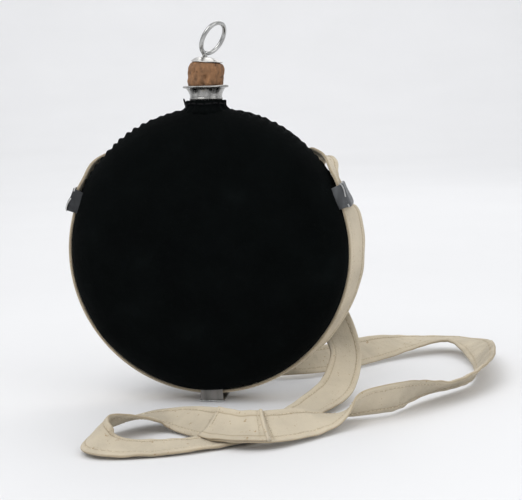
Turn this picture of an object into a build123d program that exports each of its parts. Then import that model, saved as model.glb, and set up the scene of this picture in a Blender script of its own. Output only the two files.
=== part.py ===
"""Round army-pattern canteen: dished metal body, wool cover, corked spout, cotton sling.

Frame: +Z up along the spout, +Y from the front face to the back face, origin on the
surface that the bottom sling loop stands on, in the middle of that loop. Millimetres.
"""
from build123d import *
import math
import os

# ---- body -------------------------------------------------------------------------------
shell_radius = 95.5      # outside of the rim, where the two halves lap
shell_depth = 35.0       # from the seam to the middle of either face
shell_wall = 0.8
rim_round = 24.0         # radius of the shoulder between rim and face
lap_width = 6.0          # straight band of the rim that both halves share
solder_film = 0.1        # gap between the lapped bands
solder_bead = 0.8
# ---- sling loops ------------------------------------------------------------------------
loop_standoff = 7.0      # from the rim to the inside of the outer plate
loop_plate = 1.0         # outer plate thickness
loop_sheet = 0.8         # walls and foot
loop_length = 16.0       # along the sling
loop_plate_overhang = 0.6
loop_side_angle = 22.0   # the two side loops stand this far above the middle, in degrees
loop_side_room = 1.1     # between the sling's edge and a loop wall
# ---- cover ------------------------------------------------------------------------------
cover_gap = 0.25
cover_wall = 1.8
cover_seam = 0.3
cover_clearance = 0.6    # round every loop
collar_rise = 5.6
collar_wall = 1.0
collar_foot = 3.6        # how far the collar spreads at its foot
cover_stitch_count = 72
# ---- spout ------------------------------------------------------------------------------
neck_radius = 11.5
neck_top_radius = 10.8
bead_spread = 1.7        # solder round the neck's foot
neck_inside = 3.5        # how far the neck stands into the body
neck_rise = 10.5         # rim to the start of the flare
flare_rise = 5.2
flange_radius = 15.75
lip_thickness = 1.6
seat_low_radius = 9.5
seat_top_radius = 9.8
mouth_radius = 12.0
# ---- stopper ----------------------------------------------------------------------------
cork_clearance = 0.1
cork_above = 16.5        # above the flange
cork_below = 21.5        # below the flange
cork_top_radius = 12.75
cap_radius = 10.75
cap_dome = 3.0
cap_sheet = 0.7
wire_radius = 1.4
shank_clearance = 0.06
ring_radius = 11.4       # middle of the wire
ring_lean = 31.0         # degrees from upright, towards +X
ring_turn = 62.6         # degrees that the ring's face is turned from the front
ring_clearance = 0.7
washer_radius = 8.0
washer_thickness = 1.0
nut_width = 7.0
nut_thickness = 3.0
end_play = 0.1
# ---- sling ------------------------------------------------------------------------------
sling_width = 23.0
sling_thickness = 2.4
sling_gap = 0.8          # between the cover and the sling on the rim
sling_leave_angle = 28.0 # the sling leaves the rim here, in degrees above the middle
lap_from = 25            # route points between which the two ends are sewn together
lap_to = 26
lap_gap = 0.3
stitch_count = 7         # in each of the lap's two rows
thread_height = 0.4

# ---- worked out from the sizes above ----------------------------------------------------
loop_plate_inner = shell_radius + loop_standoff
center_height = loop_plate_inner + loop_plate
loop_inner_width = sling_width + 2 * loop_side_room
loop_depth = loop_inner_width + 2 * loop_sheet
cover_outer = cover_gap + cover_wall
sling_rim_inner = shell_radius + cover_outer + sling_gap
sling_rim_middle = sling_rim_inner + sling_thickness / 2
flange_top = shell_radius + neck_rise + flare_rise + lip_thickness
cork_top = flange_top + cork_above
cork_bottom = flange_top - cork_below
hole_radius = wire_radius + shank_clearance
back_offset = -(shell_wall + solder_film)
bead_radius = neck_radius + bead_spread

# The free sling, from where it leaves the rim above the right loop to where it comes back
# to the rim above the left loop: x, y, z of its middle, then the direction of its width.
leave = math.radians(sling_leave_angle)
leave_x = sling_rim_middle * math.cos(leave)
leave_z = center_height + sling_rim_middle * math.sin(leave)
leaving = Vector(-math.sin(leave), 0, math.cos(leave))
returning = Vector(-math.sin(leave), 0, -math.cos(leave))
SLING_ROUTE = [
    ((leave_x, 0, leave_z), (0, 1, 0)),
    ((82, 3, 164), (0.1, 1, 0)),
    ((75.5, 14, 178), (0.35, 0.9, 0.1)),
    ((67, 31, 178), (0.7, 0.7, 0.1)),
    ((60, 41, 157), (1, 0.2, 0.1)),
    ((58, 42, 128), (1, 0, 0.1)),
    ((61, 43, 103), (1, 0, 0.1)),
    ((70, 43, 78), (1, 0, 0)),
    ((80, 42, 57), (1, 0, -0.05)),
    ((89, 38, 38), (0.95, -0.3, -0.15)),
    ((94, 24, 25), (0.3, -0.95, -0.1)),
    ((95, 2, 16), (-0.8, -0.5, 0.3)),
    ((88, -19, 10), (-0.9, 0.1, 0.3)),
    ((75, -40, 5), (-0.85, 0.4, 0.15)),
    ((60, -72, 2), (-0.8, 0.55, 0)),
    ((46, -101, 1.6), (-0.6, 0.8, 0)),
    ((22, -118, 1.8), (-0.2, 0.95, 0.03)),
    ((-5, -124, 2.6), (-0.15, 0.98, 0.08)),
    ((-32, -132, 5.4), (-0.1, 0.95, 0.3)),
    ((-52, -136, 10.4), (0.35, 0.65, 0.6)),
    ((-57, -121, 10), (0.75, 0, 0.66)),
    ((-48, -102, 9.6), (0.5, -0.5, 0.7)),
    ((-30, -85, 8), (0.2, -0.9, 0.4)),
    ((-12, -80, 6), (0.1, -0.97, -0.1)),
    ((8, -88, 8), (0.1, -0.9, -0.42)),
    ((26, -104, 12), (0.1, -0.82, -0.56)),
    ((46, -113, 12.5), (0.05, -0.76, -0.65)),
    ((66, -104, 11.5), (0, -0.85, -0.5)),
    ((84, -80, 7), (0.05, -0.95, -0.2)),
    ((103, -57, 7.8), (0.2, -0.85, 0.45)),
    ((123, -34, 11.5), (0.35, -0.55, 0.75)),
    ((146, -8, 10.5), (0.5, -0.6, 0.62)),
    ((169, 23, 10), (0.6, -0.55, 0.55)),
    ((190, 60, 9.5), (0.7, -0.35, 0.6)),
    ((200, 101, 9.2), (0.75, 0.1, 0.62)),
    ((190, 141, 9), (0.55, 0.55, 0.55)),
    ((165, 161, 9), (0.1, 0.85, 0.45)),
    ((134, 150, 9.5), (-0.15, 0.85, 0.5)),
    ((105, 124, 10), (-0.2, 0.75, 0.62)),
    ((77, 97, 10.5), (-0.2, 0.65, 0.72)),
    ((48, 78, 11), (-0.1, 0.62, 0.75)),
    ((18, 70, 12), (0, 0.5, 0.85)),
    ((-8, 64, 17), (0.3, 0.3, 0.9)),
    ((-28, 53, 32), (0.8, 0.3, 0.5)),
    ((-41, 44, 52), (1, 0.1, 0.2)),
    ((-50, 41, 76), (1, 0, 0)),
    ((-57, 41, 101), (1, 0, -0.1)),
    ((-61, 41, 126), (0.95, 0.1, -0.2)),
    ((-67, 41, 150), (0.9, 0.3, -0.2)),
    ((-72, 33, 170), (0.7, 0.7, 0)),
    ((-80, 16, 176), (0.3, 0.95, 0)),
    ((-85, 3, 165), (0, 1, 0)),
    ((-leave_x, 0, leave_z), (0, 1, 0)),
]


# ---- helpers ----------------------------------------------------------------------------
def dish_solid(offset, low_y):
    """A solid half of the lens-shaped body, grown by offset, from low_y to its +Y face."""
    rim_x = shell_radius - rim_round
    straight = lap_width / 2
    reach = shell_depth - rim_round
    face_y = (reach**2 - rim_x**2 - straight**2) / (2 * (reach - straight))
    face_radius = shell_depth - face_y + offset
    shoulder = rim_round + offset
    turn = math.atan2(straight - face_y, rim_x)

    def on_shoulder(angle):
        return (rim_x + shoulder * math.cos(angle), straight + shoulder * math.sin(angle))

    def on_face(angle):
        return (face_radius * math.cos(angle), face_y + face_radius * math.sin(angle))

    top = math.pi / 2
    rim = (shell_radius + offset, straight)
    outline = [
        Line((0, low_y), (rim[0], low_y)),
        Line((rim[0], low_y), rim),
        ThreePointArc(rim, on_shoulder(turn / 2), on_shoulder(turn)),
        ThreePointArc(on_face(turn), on_face((turn + top) / 2), on_face(top)),
        Line(on_face(top), (0, low_y)),
    ]
    return revolve(make_face(Wire(outline)), Axis.Y, 360)


def at_body(shape):
    """Lifts a shape drawn round the origin to the middle of the body."""
    return Pos(0, 0, center_height) * shape


def front_of(shape):
    return mirror(shape, Plane.XZ)


def dish_shell(outer, inner, low_y):
    return dish_solid(outer, low_y) - dish_solid(inner, low_y - 1)


def turned(points):
    """Turns a closed outline of (radius, height) points about the spout axis."""
    outline = Polyline(*[(r, 0, z) for r, z in points], close=True)
    return revolve(make_face(outline), Axis.Z, 360)


def round_bar(radius, low, high):
    return Pos(0, 0, (low + high) / 2) * Cylinder(radius, high - low)


def loop_places():
    """Name and place of each sling loop: its local +X points out of the rim."""
    return {
        "right": Rot(0, -loop_side_angle, 0),
        "bottom": Rot(0, 90, 0),
        "left": Rot(0, -(180 - loop_side_angle), 0),
    }


def radial_box(low_r, high_r, depth, length):
    return Pos((low_r + high_r) / 2, 0, 0) * Box(high_r - low_r, depth, length)


def envelope(offset, back_extra=0.0):
    """The whole body grown by offset; the back half may be set in by back_extra."""
    return dish_solid(offset + back_extra, 0) + front_of(dish_solid(offset, -lap_width / 2))


# ---- body -------------------------------------------------------------------------------
def make_shells():
    neck_hole = round_bar(neck_radius, 0, 2 * shell_radius)
    front = front_of(dish_shell(0, -shell_wall, -lap_width / 2)) - neck_hole
    back = dish_shell(back_offset, back_offset - shell_wall, -lap_width / 2) - neck_hole
    low_y = lap_width / 2
    ring = Rot(90, 0, 0) * Cylinder(shell_radius - solder_film, solder_bead)
    bead = Pos(0, low_y + solder_bead / 2, 0) * ring
    bead = bead - dish_solid(back_offset, 0) - round_bar(bead_radius, 0, 2 * shell_radius)
    return front, back, bead


def make_loop(place, body):
    """A sling loop: a foot bent to the body, two walls and a flat outer plate."""
    low = shell_radius - rim_round / 2
    box = radial_box(low, loop_plate_inner, loop_depth, loop_length)
    slot = radial_box(low - 1, loop_plate_inner + 1, loop_inner_width, loop_length + 2)
    walls = place * (box - slot)
    foot = (place * box) & (envelope(solder_film / 2 + loop_sheet) - body)
    overhang = 2 * loop_plate_overhang
    plate = radial_box(
        loop_plate_inner, loop_plate_inner + loop_plate, loop_depth + overhang, loop_length + overhang
    )
    return (walls - body) + foot + place * plate


def make_loop_solder(places):
    """Solder that fills the step between each loop's foot and the smaller back half."""
    start = lap_width / 2 + solder_bead + 2 * solder_film
    end = loop_depth / 2 - loop_sheet
    pads = []
    for place in places.values():
        box = radial_box(shell_radius - rim_round / 2, shell_radius + 2, end - start, loop_length)
        box = place * (Pos(0, (start + end) / 2, 0) * box)
        pads.append(box & (dish_solid(0, 0) - dish_solid(back_offset, -1)))
    return pads


def make_chain_staple(place):
    """A small wire eye on the left loop's outer plate."""
    eye_radius = 2.2
    eye_wire = 0.7
    plate_face = loop_plate_inner + loop_plate
    eye = Pos(plate_face, 0, loop_length / 4) * (Rot(90, 0, 0) * Torus(eye_radius, eye_wire))
    return place * (eye & radial_box(plate_face, plate_face + 9, loop_depth, loop_length))


# ---- cover ------------------------------------------------------------------------------
def make_cover(places):
    skin = dish_shell(cover_outer, cover_gap, cover_seam / 2)
    cut = round_bar(bead_radius, 0, 2 * shell_radius)
    for place in places.values():
        depth = loop_depth + 2 * cover_clearance
        length = loop_length + 2 * cover_clearance
        low = shell_radius - rim_round / 2
        cut = cut + place * radial_box(low, center_height + 5, depth, length)
    return front_of(skin) - cut, skin - cut


def make_collar():
    inner = neck_radius + cover_gap
    foot_z = shell_radius + cover_outer
    top_z = foot_z + collar_rise
    low_z = shell_radius - rim_round / 3
    collar = turned([
        (inner, low_z),
        (inner + collar_foot, low_z),
        (inner + collar_foot, foot_z),
        (inner + 2 * collar_wall, foot_z + collar_rise / 3),
        (inner + collar_wall, top_z),
        (inner, top_z),
    ])
    return collar - envelope(cover_outer + solder_film / 2) - round_bar(bead_radius, 0, foot_z)


def make_cover_stitching(places):
    """Short threads across the seam, all round except at the neck and the loops."""
    thread = radial_box(
        shell_radius + cover_outer + 0.03, shell_radius + cover_outer + 0.5, 5.0, 1.2
    )
    keep_off = loop_length / 2 + 2 * cover_clearance
    stitches = []
    loop_angles = [loop_side_angle, 180 - loop_side_angle, 270]
    for number in range(cover_stitch_count):
        angle = (number + 0.5) * 360 / cover_stitch_count
        reach = [abs((angle - at + 180) % 360 - 180) for at in loop_angles]
        near_loop = min(reach) < math.degrees(keep_off / shell_radius) + 1
        near_neck = abs(angle - 90) < math.degrees((neck_radius + collar_foot) / shell_radius) + 2
        if not near_loop and not near_neck:
            stitches.append(Rot(0, -angle, 0) * thread)
    return stitches


# ---- spout and stopper ------------------------------------------------------------------
def seat_points(clearance):
    """Radius and height of the cork's seat, from the neck's end to its mouth."""
    low_z = shell_radius - neck_inside
    top_z = shell_radius + neck_rise
    mouth_z = top_z + flare_rise
    return [
        (seat_low_radius - clearance, low_z),
        (seat_top_radius - clearance, top_z),
        (mouth_radius - clearance, mouth_z),
    ]


def make_spout():
    low_z = shell_radius - neck_inside
    top_z = shell_radius + neck_rise
    flare_z = top_z + flare_rise
    inside = seat_points(0)
    lip = lip_thickness / 3
    return turned(
        inside
        + [
            (mouth_radius + lip_thickness, flange_top),
            (flange_radius - lip, flange_top),
            (flange_radius, flange_top - lip),
            (flange_radius, flange_top - 2 * lip),
            (flange_radius - lip, flare_z),
            (neck_top_radius + lip, top_z + lip),
            (neck_top_radius, top_z),
            (neck_radius, shell_radius + 1),
            (neck_radius, low_z),
        ]
    )


def make_spout_solder():
    cone = turned([
        (neck_radius, shell_radius - rim_round / 4),
        (bead_radius - cover_gap, shell_radius - rim_round / 4),
        (bead_radius - cover_gap, shell_radius - 1),
        (neck_radius, shell_radius + 1),
    ])
    return cone - envelope(0, back_offset)


def make_cork():
    chamfer = 0.6
    low, top, mouth = seat_points(cork_clearance)
    cork = turned([
        (0, cork_bottom),
        (low[0] - chamfer, cork_bottom),
        (low[0], cork_bottom + chamfer),
        low if low[1] > cork_bottom + 2 * chamfer else (low[0], cork_bottom + 2 * chamfer),
        top,
        mouth,
        (cork_top_radius, cork_top - chamfer),
        (cork_top_radius - chamfer, cork_top),
        (0, cork_top),
    ])
    return cork - round_bar(hole_radius, cork_bottom - 1, cork_top + 1)


def make_cap():
    """A shallow dome that spreads the pull over the top of the cork."""
    sphere_radius = (cap_radius**2 + cap_dome**2) / (2 * cap_dome)
    middle = Pos(0, 0, cork_top + cap_dome - sphere_radius)
    dome = middle * Sphere(sphere_radius) - middle * Sphere(sphere_radius - cap_sheet)
    dome = dome & round_bar(cap_radius, cork_top, cork_top + cap_dome + 1)
    return dome - round_bar(hole_radius, cork_top - 1, cork_top + cap_dome + 2)


def ring_frame():
    """Middle of the pull ring and the normal of its face."""
    lean = math.radians(ring_lean)
    turn = math.radians(ring_turn)
    up = (math.sin(lean), 0, math.cos(lean))
    normal = (
        -math.sin(turn) * math.cos(lean),
        math.cos(turn),
        math.sin(turn) * math.sin(lean),
    )
    foot = cork_top + cap_dome + wire_radius + ring_clearance
    middle = (ring_radius * up[0], ring_radius * up[1], foot + ring_radius * up[2])
    return middle, normal, foot


def make_pull_ring():
    middle, normal, foot = ring_frame()
    ring = Plane(origin=middle, z_dir=normal) * Torus(ring_radius, wire_radius)
    end = cork_bottom - washer_thickness - end_play - nut_thickness - 1
    return ring + round_bar(wire_radius, end, foot)


def make_washer_and_nut():
    washer = round_bar(washer_radius, cork_bottom - washer_thickness, cork_bottom)
    washer = washer - round_bar(hole_radius, cork_bottom - 5, cork_bottom + 1)
    nut_top = cork_bottom - washer_thickness - end_play
    nut = Pos(0, 0, nut_top - nut_thickness / 2) * Box(nut_width, nut_width, nut_thickness)
    return washer, nut - round_bar(wire_radius, nut_top - 10, nut_top + 1)


# ---- sling ------------------------------------------------------------------------------
def make_sling_rim():
    """The stretch of sling that the three loops hold against the rim."""
    half = sling_width / 2
    ring = Cylinder(sling_rim_inner + sling_thickness, sling_width) - Cylinder(
        sling_rim_inner, sling_width + 2
    )
    ring = Rot(90, 0, 0) * ring
    far = 2 * sling_rim_inner
    gap = Polyline(
        (0, 0, 0),
        (far * math.cos(leave), 0, far * math.sin(leave)),
        (0, 0, 2 * far),
        (-far * math.cos(leave), 0, far * math.sin(leave)),
        close=True,
    )
    return ring - extrude(make_face(gap), half + 1, both=True)


def bend_radii(points):
    """The largest radius that each corner's two runs allow."""
    radii = []
    for before, here, after in zip(points, points[1:], points[2:]):
        first = here - before
        second = after - here
        half_turn = math.radians(first.get_angle(second)) / 2
        radii.append(0.45 * min(first.length, second.length) / math.tan(half_turn))
    return radii


def strap_corners(place, along, width_way, lift, width):
    """The four corners of the sling's section at a place on its path."""
    across = (width_way - along * width_way.dot(along)).normalized() * (width / 2)
    face_way = along.cross(across).normalized()
    up = face_way * (lift + sling_thickness / 2)
    down = face_way * (lift - sling_thickness / 2)
    return [place - across + down, place + across + down, place + across + up, place - across + up]


def skin_of(sections):
    """A closed solid through a row of four-cornered sections."""
    faces = []
    for near, far in zip(sections, sections[1:]):
        for side in range(4):
            a, b = near[side], near[(side + 1) % 4]
            c, d = far[(side + 1) % 4], far[side]
            faces.append(Face(Wire.make_polygon([a, b, c])))
            faces.append(Face(Wire.make_polygon([a, c, d])))
    for end in (sections[0], sections[-1]):
        faces.append(Face(Wire.make_polygon(end[:3])))
        faces.append(Face(Wire.make_polygon([end[0], end[2], end[3]])))
    return Solid(Shell(faces))


def strap_sections(route, lift=0.0, width=sling_width):
    """Sections of a flat strap along straight runs joined by tangent arcs."""
    points = [Vector(*place) for place, way in route]
    ways = [Vector(*way).normalized() for place, way in route]
    radii = bend_radii(points)
    path = FilletPolyline(*points, radius=radii)
    arcs = [edge for edge in path.edges() if edge.geom_type == GeomType.CIRCLE]
    sections = [strap_corners(points[0], leaving, ways[0], lift, width)]
    for corner in range(1, len(points) - 1):
        arc = min(arcs, key=lambda edge: (edge @ 0.5 - points[corner]).length)
        before = points[corner - 1]
        backwards = (arc @ 0 - before).length > (arc @ 1 - before).length
        for share, neighbour in ((0, corner - 1), (0.5, corner), (1, corner + 1)):
            at = 1 - share if backwards else share
            along = -(arc % at) if backwards else arc % at
            way = ways[corner] * 0.75 + ways[neighbour] * 0.25
            sections.append(strap_corners(arc @ at, along, way, lift, width))
    sections.append(strap_corners(points[-1], returning, ways[-1], lift, width))
    return sections, path.length, radii


def make_lap():
    """The end of the sling that is sewn down over its other end, and its stitches."""
    lap_lift = -(sling_thickness + lap_gap)
    lap = strap_sections(SLING_ROUTE, lap_lift, sling_width - 1)[0]
    lap = lap[section_number(lap_from) : section_number(lap_to) + 1]
    threads = []
    rise = sling_thickness + lap_gap + sling_thickness / 2 + thread_height
    outside = strap_sections(SLING_ROUTE, -rise, sling_width - 1)[0]
    for number in (section_number(lap_from) + 1, section_number(lap_to) - 1):
        below, above = outside[number][:2], outside[number][2:]
        left = (below[0] + above[1]) / 2
        right = (below[1] + above[0]) / 2
        face_way = (above[0] - below[1]).normalized()
        for place in range(1, stitch_count + 1):
            middle = left + (right - left) * (place / (stitch_count + 1))
            plane = Plane(origin=middle, x_dir=right - left, z_dir=face_way)
            threads.append(plane * Box(1.8, 0.6, thread_height))
    return skin_of(lap), threads


def section_number(corner):
    """Number of the section in the middle of a corner of the route."""
    return 3 * (corner - 1) + 2


# ---- build ------------------------------------------------------------------------------
def build():
    places = loop_places()
    body = envelope(solder_film / 2)
    nodes = {}
    nodes["front_shell"], nodes["back_shell"], nodes["rim_solder"] = make_shells()
    nodes["spout"] = make_spout()
    nodes["spout_solder"] = make_spout_solder()
    for name, place in places.items():
        nodes["sling_loop_" + name] = make_loop(place, body)
    nodes["loop_solder"] = Compound(children=make_loop_solder(places))
    nodes["chain_staple"] = make_chain_staple(places["left"])
    nodes["front_cover"], nodes["back_cover"] = make_cover(places)
    nodes["cover_collar"] = make_collar()
    nodes["cover_stitching"] = Compound(children=make_cover_stitching(places))
    nodes["cork"] = make_cork()
    nodes["stopper_cap"] = make_cap()
    nodes["pull_ring"] = make_pull_ring()
    nodes["stopper_washer"], nodes["stopper_nut"] = make_washer_and_nut()
    nodes["sling_rim"] = make_sling_rim()
    nodes = {name: at_body(shape) for name, shape in nodes.items()}
    sections, length, radii = strap_sections(SLING_ROUTE)
    nodes["sling_free"] = skin_of(sections)
    nodes["sling_lap"], threads = make_lap()
    nodes["lap_stitching"] = Compound(children=threads)
    section = sling_width * sling_thickness
    print("sling radii", [round(radius, 1) for radius in radii])
    print("free sling length", round(length, 1), "held", round(held_length(), 1))
    print("sling volume / section x length", nodes["sling_free"].volume / (section * length))
    os.makedirs("parts", exist_ok=True)
    for name, shape in nodes.items():
        export_step(shape, "parts/" + name + ".step")


def held_length():
    return sling_rim_middle * math.radians(180 + 2 * sling_leave_angle)


build()
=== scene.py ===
"""Round army-pattern canteen: metal body, black wool cover, corked spout, cotton sling.

Every length is in metres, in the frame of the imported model: +Z up along the spout,
+Y from the front face to the back face, and the bottom sling loop standing on z = 0.
"""
import math
import random

import bmesh
import bpy
import numpy as np
from mathutils import Matrix, Vector


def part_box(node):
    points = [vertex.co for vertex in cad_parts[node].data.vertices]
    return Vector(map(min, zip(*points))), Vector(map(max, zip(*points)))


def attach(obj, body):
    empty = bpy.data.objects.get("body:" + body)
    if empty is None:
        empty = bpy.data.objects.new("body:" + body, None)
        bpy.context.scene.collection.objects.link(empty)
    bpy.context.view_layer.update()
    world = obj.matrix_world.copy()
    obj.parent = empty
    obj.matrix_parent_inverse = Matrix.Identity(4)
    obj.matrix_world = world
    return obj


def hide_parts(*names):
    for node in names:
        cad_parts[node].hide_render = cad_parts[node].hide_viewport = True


bl_info = {
    "name": "Covered Canteen",
    "version": (1, 0, 0),
    "blender": (4, 5, 0),
    "location": "View3D > Sidebar > Canteen",
    "description": "Dresses the packed canteen with its wool, cotton, cork and metal",
    "category": "Object",
}

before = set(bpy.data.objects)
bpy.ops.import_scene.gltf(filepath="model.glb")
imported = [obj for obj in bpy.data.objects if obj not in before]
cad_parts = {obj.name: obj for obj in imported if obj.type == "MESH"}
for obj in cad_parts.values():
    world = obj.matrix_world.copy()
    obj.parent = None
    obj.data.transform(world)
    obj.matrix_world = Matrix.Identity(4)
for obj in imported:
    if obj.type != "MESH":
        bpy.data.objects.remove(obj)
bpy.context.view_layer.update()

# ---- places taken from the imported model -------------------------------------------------
SHELL_LOW, SHELL_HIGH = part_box("front_shell")
SLING_LOW, SLING_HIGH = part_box("sling_rim")
SPOUT_LOW, SPOUT_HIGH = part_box("spout")
CORK_LOW, CORK_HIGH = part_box("cork")
CAP_LOW, CAP_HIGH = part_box("stopper_cap")
LOOP_LOW, LOOP_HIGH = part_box("sling_loop_bottom")
STAPLE_LOW, STAPLE_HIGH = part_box("chain_staple")
MIDDLE_Z = (SHELL_LOW.z + SHELL_HIGH.z) / 2
SHELL_RADIUS = SHELL_HIGH.x
SHELL_SHOULDER = 0.024
SHELL_HALF_DEPTH = 0.035
COVER_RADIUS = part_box("back_cover")[1].x
SHANK_FOOT_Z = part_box("pull_ring")[0].z
STRAP_WIDTH = SLING_HIGH.y - SLING_LOW.y
STRAP_THICKNESS = 0.0022
STRAP_RADIUS = COVER_RADIUS + 0.0004
STRAP_STEP = 0.0016
LOOP_ANGLES = {"right": math.radians(22), "bottom": math.radians(-90), "left": math.radians(158)}

# The free sling: the middle of the strap, then the way its width points.
SLING_ROUTE = [
    ((0.0936, 0.0, 0.1376), (0, -1, 0)),
    ((0.0879, 0.0, 0.1502), (0, -1, 0)),
    ((0.083, 0.006, 0.161), (-0.2, -0.85, 0.45)),
    ((0.077, 0.022, 0.168), (-0.75, -0.5, 0.4)),
    ((0.068, 0.036, 0.164), (-0.95, -0.2, -0.1)),
    ((0.061, 0.042, 0.150), (-1, -0.1, -0.1)),
    ((0.058, 0.042, 0.128), (-1, 0, -0.1)),
    ((0.061, 0.043, 0.103), (-1, 0, -0.1)),
    ((0.068, 0.043, 0.078), (-1, 0, 0)),
    ((0.077, 0.042, 0.057), (-1, 0, 0.05)),
    ((0.086, 0.038, 0.038), (-0.95, 0, -0.1)),
    ((0.091, 0.024, 0.026), (-0.9, -0.2, 0.25)),
    ((0.090, 0.003, 0.018), (-0.85, -0.1, 0.35)),
    ((0.086, -0.019, 0.010), (-0.9, 0, 0.3)),
    ((0.073, -0.043, 0.0055), (-0.88, 0.3, 0.2)),
    ((0.058, -0.075, 0.0028), (-0.8, 0.55, 0)),
    ((0.042, -0.103, 0.0026), (-0.5, 0.85, 0)),
    ((0.017, -0.124, 0.0027), (-0.2, 0.95, 0.02)),
    ((-0.008, -0.137, 0.0036), (-0.25, 0.96, 0.08)),
    ((-0.033, -0.144, 0.0044), (-0.2, 0.95, 0.15)),
    ((-0.047, -0.144, 0.0092), (0.2, 0.8, 0.5)),
    ((-0.052, -0.127, 0.0112), (0.6, 0.3, 0.6)),
    ((-0.046, -0.109, 0.0102), (0.45, -0.6, 0.5)),
    ((-0.029, -0.088, 0.0090), (0.2, -0.95, 0.1)),
    ((-0.011, -0.083, 0.0072), (0.15, -0.95, -0.3)),
    ((0.010, -0.101, 0.0092), (0.12, -0.88, -0.42)),
    ((0.027, -0.121, 0.0114), (0.1, -0.84, -0.5)),
    ((0.048, -0.125, 0.0118), (0.08, -0.76, -0.62)),
    ((0.066, -0.109, 0.0104), (0.08, -0.84, -0.5)),
    ((0.083, -0.085, 0.0070), (0.1, -0.96, -0.2)),
    ((0.094, -0.070, 0.0080), (0.1, -0.95, 0.2)),
    ((0.105, -0.062, 0.0122), (0, -0.55, 0.8)),
    ((0.124, -0.053, 0.0132), (-0.1, -0.5, 0.8)),
    ((0.146, -0.020, 0.0110), (0, -0.88, 0.42)),
    ((0.168, 0.006, 0.0095), (0.05, -0.95, 0.28)),
    ((0.187, 0.039, 0.0120), (0.6, -0.25, 0.72)),
    ((0.190, 0.090, 0.0120), (0.65, 0, 0.75)),
    ((0.184, 0.138, 0.0110), (0.75, 0.5, 0.1)),
    ((0.167, 0.163, 0.0100), (0.2, 0.97, -0.1)),
    ((0.135, 0.149, 0.0105), (0.1, 0.95, 0.15)),
    ((0.106, 0.119, 0.0105), (0.05, 0.8, 0.52)),
    ((0.078, 0.081, 0.0112), (-0.1, 0.75, 0.65)),
    ((0.048, 0.062, 0.0115), (-0.1, 0.72, 0.65)),
    ((0.018, 0.062, 0.0125), (0, 0.5, 0.85)),
    ((-0.008, 0.064, 0.017), (0.3, 0.3, 0.9)),
    ((-0.028, 0.053, 0.032), (0.8, 0.3, 0.5)),
    ((-0.041, 0.044, 0.052), (1, 0.1, 0.2)),
    ((-0.050, 0.041, 0.076), (1, 0, 0)),
    ((-0.057, 0.041, 0.101), (1, 0, -0.1)),
    ((-0.061, 0.041, 0.126), (0.95, 0.1, -0.2)),
    ((-0.065, 0.042, 0.149), (1, 0, -0.1)),
    ((-0.070, 0.036, 0.164), (0.95, -0.2, -0.1)),
    ((-0.077, 0.022, 0.168), (0.75, -0.5, 0.4)),
    ((-0.083, 0.006, 0.161), (0.2, -0.85, 0.45)),
    ((-0.0879, 0.0, 0.1502), (0, -1, 0)),
    ((-0.0936, 0.0, 0.1376), (0, -1, 0)),
]
LAP_START = (0.019, -0.107, 0.009)
LAP_END = (0.050, -0.117, 0.0105)


# ---- settings a user may change ---------------------------------------------------------
class CoverSettings(bpy.types.PropertyGroup):
    wool_colour: bpy.props.FloatVectorProperty(
        name="Wool", description="Colour of the wool cover", subtype="COLOR", size=4,
        default=(0.0020, 0.0028, 0.0028, 1),
    )
    gather_pitch: bpy.props.FloatProperty(
        name="Gather pitch", description="Distance from one whip stitch to the next",
        subtype="DISTANCE", default=0.0062, min=0.003, max=0.02,
    )
    gather_depth: bpy.props.FloatProperty(
        name="Gather depth", description="How far each whip stitch pulls the seam in",
        subtype="DISTANCE", default=0.0007, min=0, max=0.003,
    )
    puff: bpy.props.FloatProperty(
        name="Puff", description="How far the cloth stands off the body over the top",
        subtype="DISTANCE", default=0.0008, min=0, max=0.003,
    )


class SlingSettings(bpy.types.PropertyGroup):
    cotton_colour: bpy.props.FloatVectorProperty(
        name="Cotton", description="Colour of the cotton drill", subtype="COLOR", size=4,
        default=(0.60, 0.525, 0.40, 1),
    )
    stitch_pitch: bpy.props.FloatProperty(
        name="Stitch pitch", description="Distance from one hem stitch to the next",
        subtype="DISTANCE", default=0.0032, min=0.001, max=0.01,
    )
    hem_width: bpy.props.FloatProperty(
        name="Hem", description="Distance from the sling's edge to its hem stitches",
        subtype="DISTANCE", default=0.0036, min=0.002, max=0.008,
    )
    flare: bpy.props.FloatProperty(
        name="Flare", description="How far the sling's back edge stands off the rim",
        subtype="DISTANCE", default=0.0085, min=0, max=0.012,
    )


class StopperSettings(bpy.types.PropertyGroup):
    cork_colour: bpy.props.FloatVectorProperty(
        name="Cork", description="Colour of the cork", subtype="COLOR", size=4,
        default=(0.26, 0.13, 0.058, 1),
    )
    wire_radius: bpy.props.FloatProperty(
        name="Wire", description="Radius of the pull ring's wire",
        subtype="DISTANCE", default=0.0015, min=0.0008, max=0.0025,
    )


class StageSettings(bpy.types.PropertyGroup):
    floor_colour: bpy.props.FloatVectorProperty(
        name="Floor", description="Colour of the floor", subtype="COLOR", size=4,
        default=(0.80, 0.80, 0.81, 1),
    )
    sky_strength: bpy.props.FloatProperty(
        name="Surround", description="Strength of the light from all round",
        default=0.82, min=0, max=3,
    )


# ---- materials --------------------------------------------------------------------------
def new_material(name, roughness, metallic=0.0, sheen=0.0):
    """A material with its shader, and a function that adds and links nodes to it."""
    material = bpy.data.materials.new(name)
    material.use_nodes = True
    tree = material.node_tree
    shader = tree.nodes["Principled BSDF"]
    shader.inputs["Roughness"].default_value = roughness
    shader.inputs["Metallic"].default_value = metallic
    shader.inputs["Sheen Weight"].default_value = sheen

    def node(kind, settings=None, **links):
        made = tree.nodes.new(kind)
        for key, value in (settings or {}).items():
            if key in made.inputs:
                made.inputs[key].default_value = value
            else:
                setattr(made, key, value)
        for key, source in links.items():
            tree.links.new(source, made.inputs[key.replace("_", " ")])
        return made

    return material, shader, tree, node


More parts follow.
